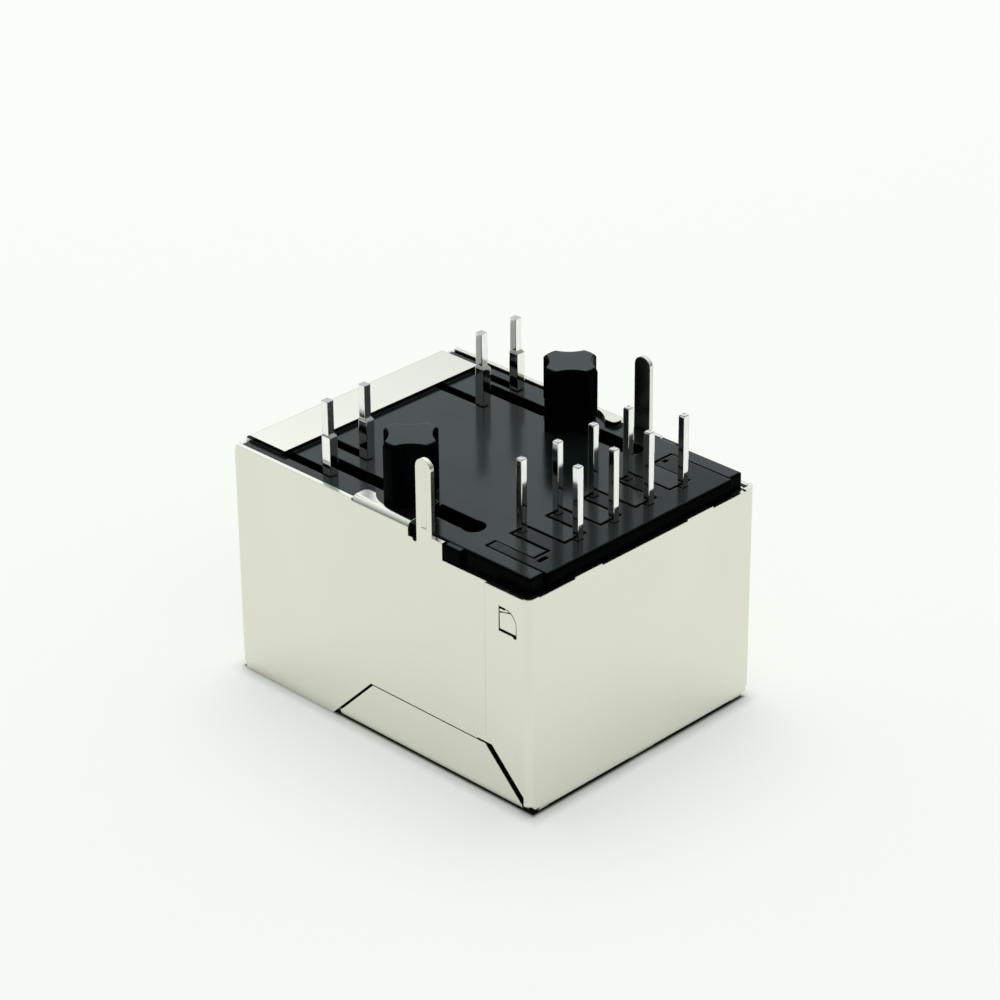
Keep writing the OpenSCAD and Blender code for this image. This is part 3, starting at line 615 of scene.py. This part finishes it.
def pale_floor(colour):
    """Matt paint with a painted shadow under the part, that glows around it for the camera and in
    mirrors.
    """
    wing = 0.27 * MM  # how far the wings stand out of the side walls
    finish = Finish("pale_floor")
    outside = finish.math(
        "MAXIMUM",
        finish.math("SUBTRACT", finish.along(finish.place, "X", True), BOX_HIGH.x - wing),
        finish.math("SUBTRACT", finish.along(finish.place, "Y", True), BOX_HIGH.y),
    )
    # painted shadow: the paint turns near black under the part, fading out towards its edge
    under = finish.step(outside, 0.0, -0.2 * MM)
    paint = finish.node("ShaderNodeBsdfDiffuse")
    finish.link(finish.blend(under, colour, (0.02, 0.022, 0.018)), paint.inputs["Color"])

    # the glow is partial near the part, and whole far off, where the floor meets the backdrop
    far = finish.step(outside, 0.1, 0.6)
    glow = finish.node("ShaderNodeEmission", Color=(*colour, 1.0))
    finish.link(finish.ranged(far, 1.09, 1.0, 0.0, 1.0), glow.inputs["Strength"])
    seen = finish.node("ShaderNodeLightPath")
    share = finish.product(
        finish.math("MAXIMUM", seen.outputs["Is Camera Ray"], seen.outputs["Is Glossy Ray"]),
        finish.ranged(far, 0.46, 1.0, 0.0, 1.0),
        finish.step(outside, -0.1 * MM, 0.7 * MM),
    )
    mix = finish.node("ShaderNodeMixShader")
    finish.link(share, mix.inputs["Fac"])
    finish.link(paint.outputs[0], mix.inputs[1])
    finish.link(glow.outputs[0], mix.inputs[2])
    finish.link(mix.outputs[0], finish.tree.nodes["Material Output"].inputs["Surface"])
    finish.tree.nodes.remove(finish.shader)
    return finish.material


def add_world(scene, colour, fill):
    """Even light from all round, a pale backdrop, and reflections of a room lit from one side."""
    world = bpy.data.worlds.new("studio")
    world.use_nodes = True
    tree = world.node_tree
    tree.nodes.clear()
    output = add_node(tree, "ShaderNodeOutputWorld")
    light = add_node(tree, "ShaderNodeBackground", Color=(1.0, 1.0, 0.99, 1.0), Strength=fill)
    backdrop = add_node(tree, "ShaderNodeBackground", Color=(*colour, 1.0))
    room = add_node(tree, "ShaderNodeBackground")

    # the room: brighter overhead, and bright on the side that the mouth and the far wall face
    direction = add_node(tree, "ShaderNodeTexCoord").outputs["Generated"]
    split = add_node(tree, "ShaderNodeSeparateXYZ")
    tree.links.new(direction, split.inputs["Vector"])
    sky = add_node(tree, "ShaderNodeValToRGB")
    low, high = sky.color_ramp.elements
    low.position, high.position = 0.05, 0.5
    low.color, high.color = (*colour, 1.0), (1.12, 1.22, 1.24, 1.0)
    tree.links.new(split.outputs["Z"], sky.inputs["Fac"])
    tree.links.new(sky.outputs["Color"], room.inputs["Color"])
    towards = add_node(tree, "ShaderNodeVectorMath", operation="DOT_PRODUCT")
    tree.links.new(direction, towards.inputs[0])
    towards.inputs[1].default_value = (-0.71, -0.7, 0.25)
    side = add_node(
        tree, "ShaderNodeMapRange", interpolation_type="SMOOTHSTEP",
        From_Min=-0.5, From_Max=0.9, To_Min=0.03, To_Max=1.0,
    )
    tree.links.new(towards.outputs["Value"], side.inputs["Value"])
    tree.links.new(side.outputs["Result"], room.inputs["Strength"])

    # mirrors see the room, the camera sees the backdrop, and all else gets the even light
    seen = add_node(tree, "ShaderNodeLightPath")
    shown = light
    for ray, background in (("Is Glossy Ray", room), ("Is Camera Ray", backdrop)):
        mix = add_node(tree, "ShaderNodeMixShader")
        tree.links.new(seen.outputs[ray], mix.inputs["Fac"])
        tree.links.new(shown.outputs[0], mix.inputs[1])
        tree.links.new(background.outputs[0], mix.inputs[2])
        shown = mix
    tree.links.new(shown.outputs[0], output.inputs["Surface"])
    scene.world = world


def add_lamp(power):
    """A large soft lamp overhead, hidden from reflections."""
    data = bpy.data.lights.new("overhead", "AREA")
    data.shape = "DISK"
    data.size = 0.4
    data.energy = power
    lamp = bpy.data.objects.new("overhead", data)
    bpy.context.scene.collection.objects.link(lamp)
    lamp.location = Vector((-0.09, -0.11, 0.42))
    aim = (Vector((0, 0, 0.005)) - lamp.location).to_track_quat("-Z", "Y")
    lamp.rotation_euler = aim.to_euler()
    lamp.visible_glossy = False


def add_camera(scene, lens):
    """The camera over the rear corner, on the side that carries the green lamp."""
    azimuth, elevation, roll = (math.radians(angle) for angle in (134.582, 27.878, -0.48))
    target = Vector((-5.76, -4.97, 6.64)) * MM
    distance = 186.17 * MM
    back = Vector((
        math.sin(azimuth) * math.cos(elevation),
        -math.cos(azimuth) * math.cos(elevation),
        math.sin(elevation),
    ))
    level = Vector((math.cos(azimuth), math.sin(azimuth), 0))
    up = back.cross(level)
    right = level * math.cos(roll) + up * math.sin(roll)
    upright = -level * math.sin(roll) + up * math.cos(roll)
    data = bpy.data.cameras.new("camera")
    data.lens = lens
    data.sensor_width = 36.0
    data.clip_start = 0.01
    data.clip_end = 10.0
    camera = bpy.data.objects.new("camera", data)
    turn = Matrix((right, upright, back)).transposed().to_4x4()
    camera.matrix_world = Matrix.Translation(target + back * distance) @ turn
    scene.collection.objects.link(camera)
    scene.camera = camera
    scene.view_settings.view_transform = "Standard"


# ---- panel -----------------------------------------------------------------------------

OPERATORS = [
    JACK_OT_shield,
    JACK_OT_mouldings,
    JACK_OT_peg_roots,
    JACK_OT_pins,
    JACK_OT_lamps,
    JACK_OT_magnetics,
    JACK_OT_stage,
]


class JACK_PT_parts(Panel):
    """Lists the pieces of the jack"""

    bl_idname = "JACK_PT_parts"
    bl_label = "Board jack"
    bl_space_type = "VIEW_3D"
    bl_region_type = "UI"
    bl_category = "Board jack"

    def draw(self, context):
        for operator in OPERATORS:
            self.layout.operator(operator.bl_idname)
        for name in SETTINGS:
            group = getattr(context.scene, name)
            box = self.layout.box()
            for key in group.__annotations__:
                box.prop(group, key)


def register():
    """Registers the classes and hangs the settings on the scene."""
    for cls in (*SETTINGS.values(), *OPERATORS, JACK_PT_parts):
        bpy.utils.register_class(cls)
    for name, cls in SETTINGS.items():
        setattr(bpy.types.Scene, name, PointerProperty(type=cls))


def unregister():
    """Takes back what register did."""
    for name in SETTINGS:
        delattr(bpy.types.Scene, name)
    for cls in (JACK_PT_parts, *reversed(OPERATORS), *reversed(SETTINGS.values())):
        bpy.utils.unregister_class(cls)


def main():
    """Runs each operator in order."""
    register()
    for operator in OPERATORS:
        group, name = operator.bl_idname.split(".")
        getattr(getattr(bpy.ops, group), name)()


if __name__ == "__main__":
    main()
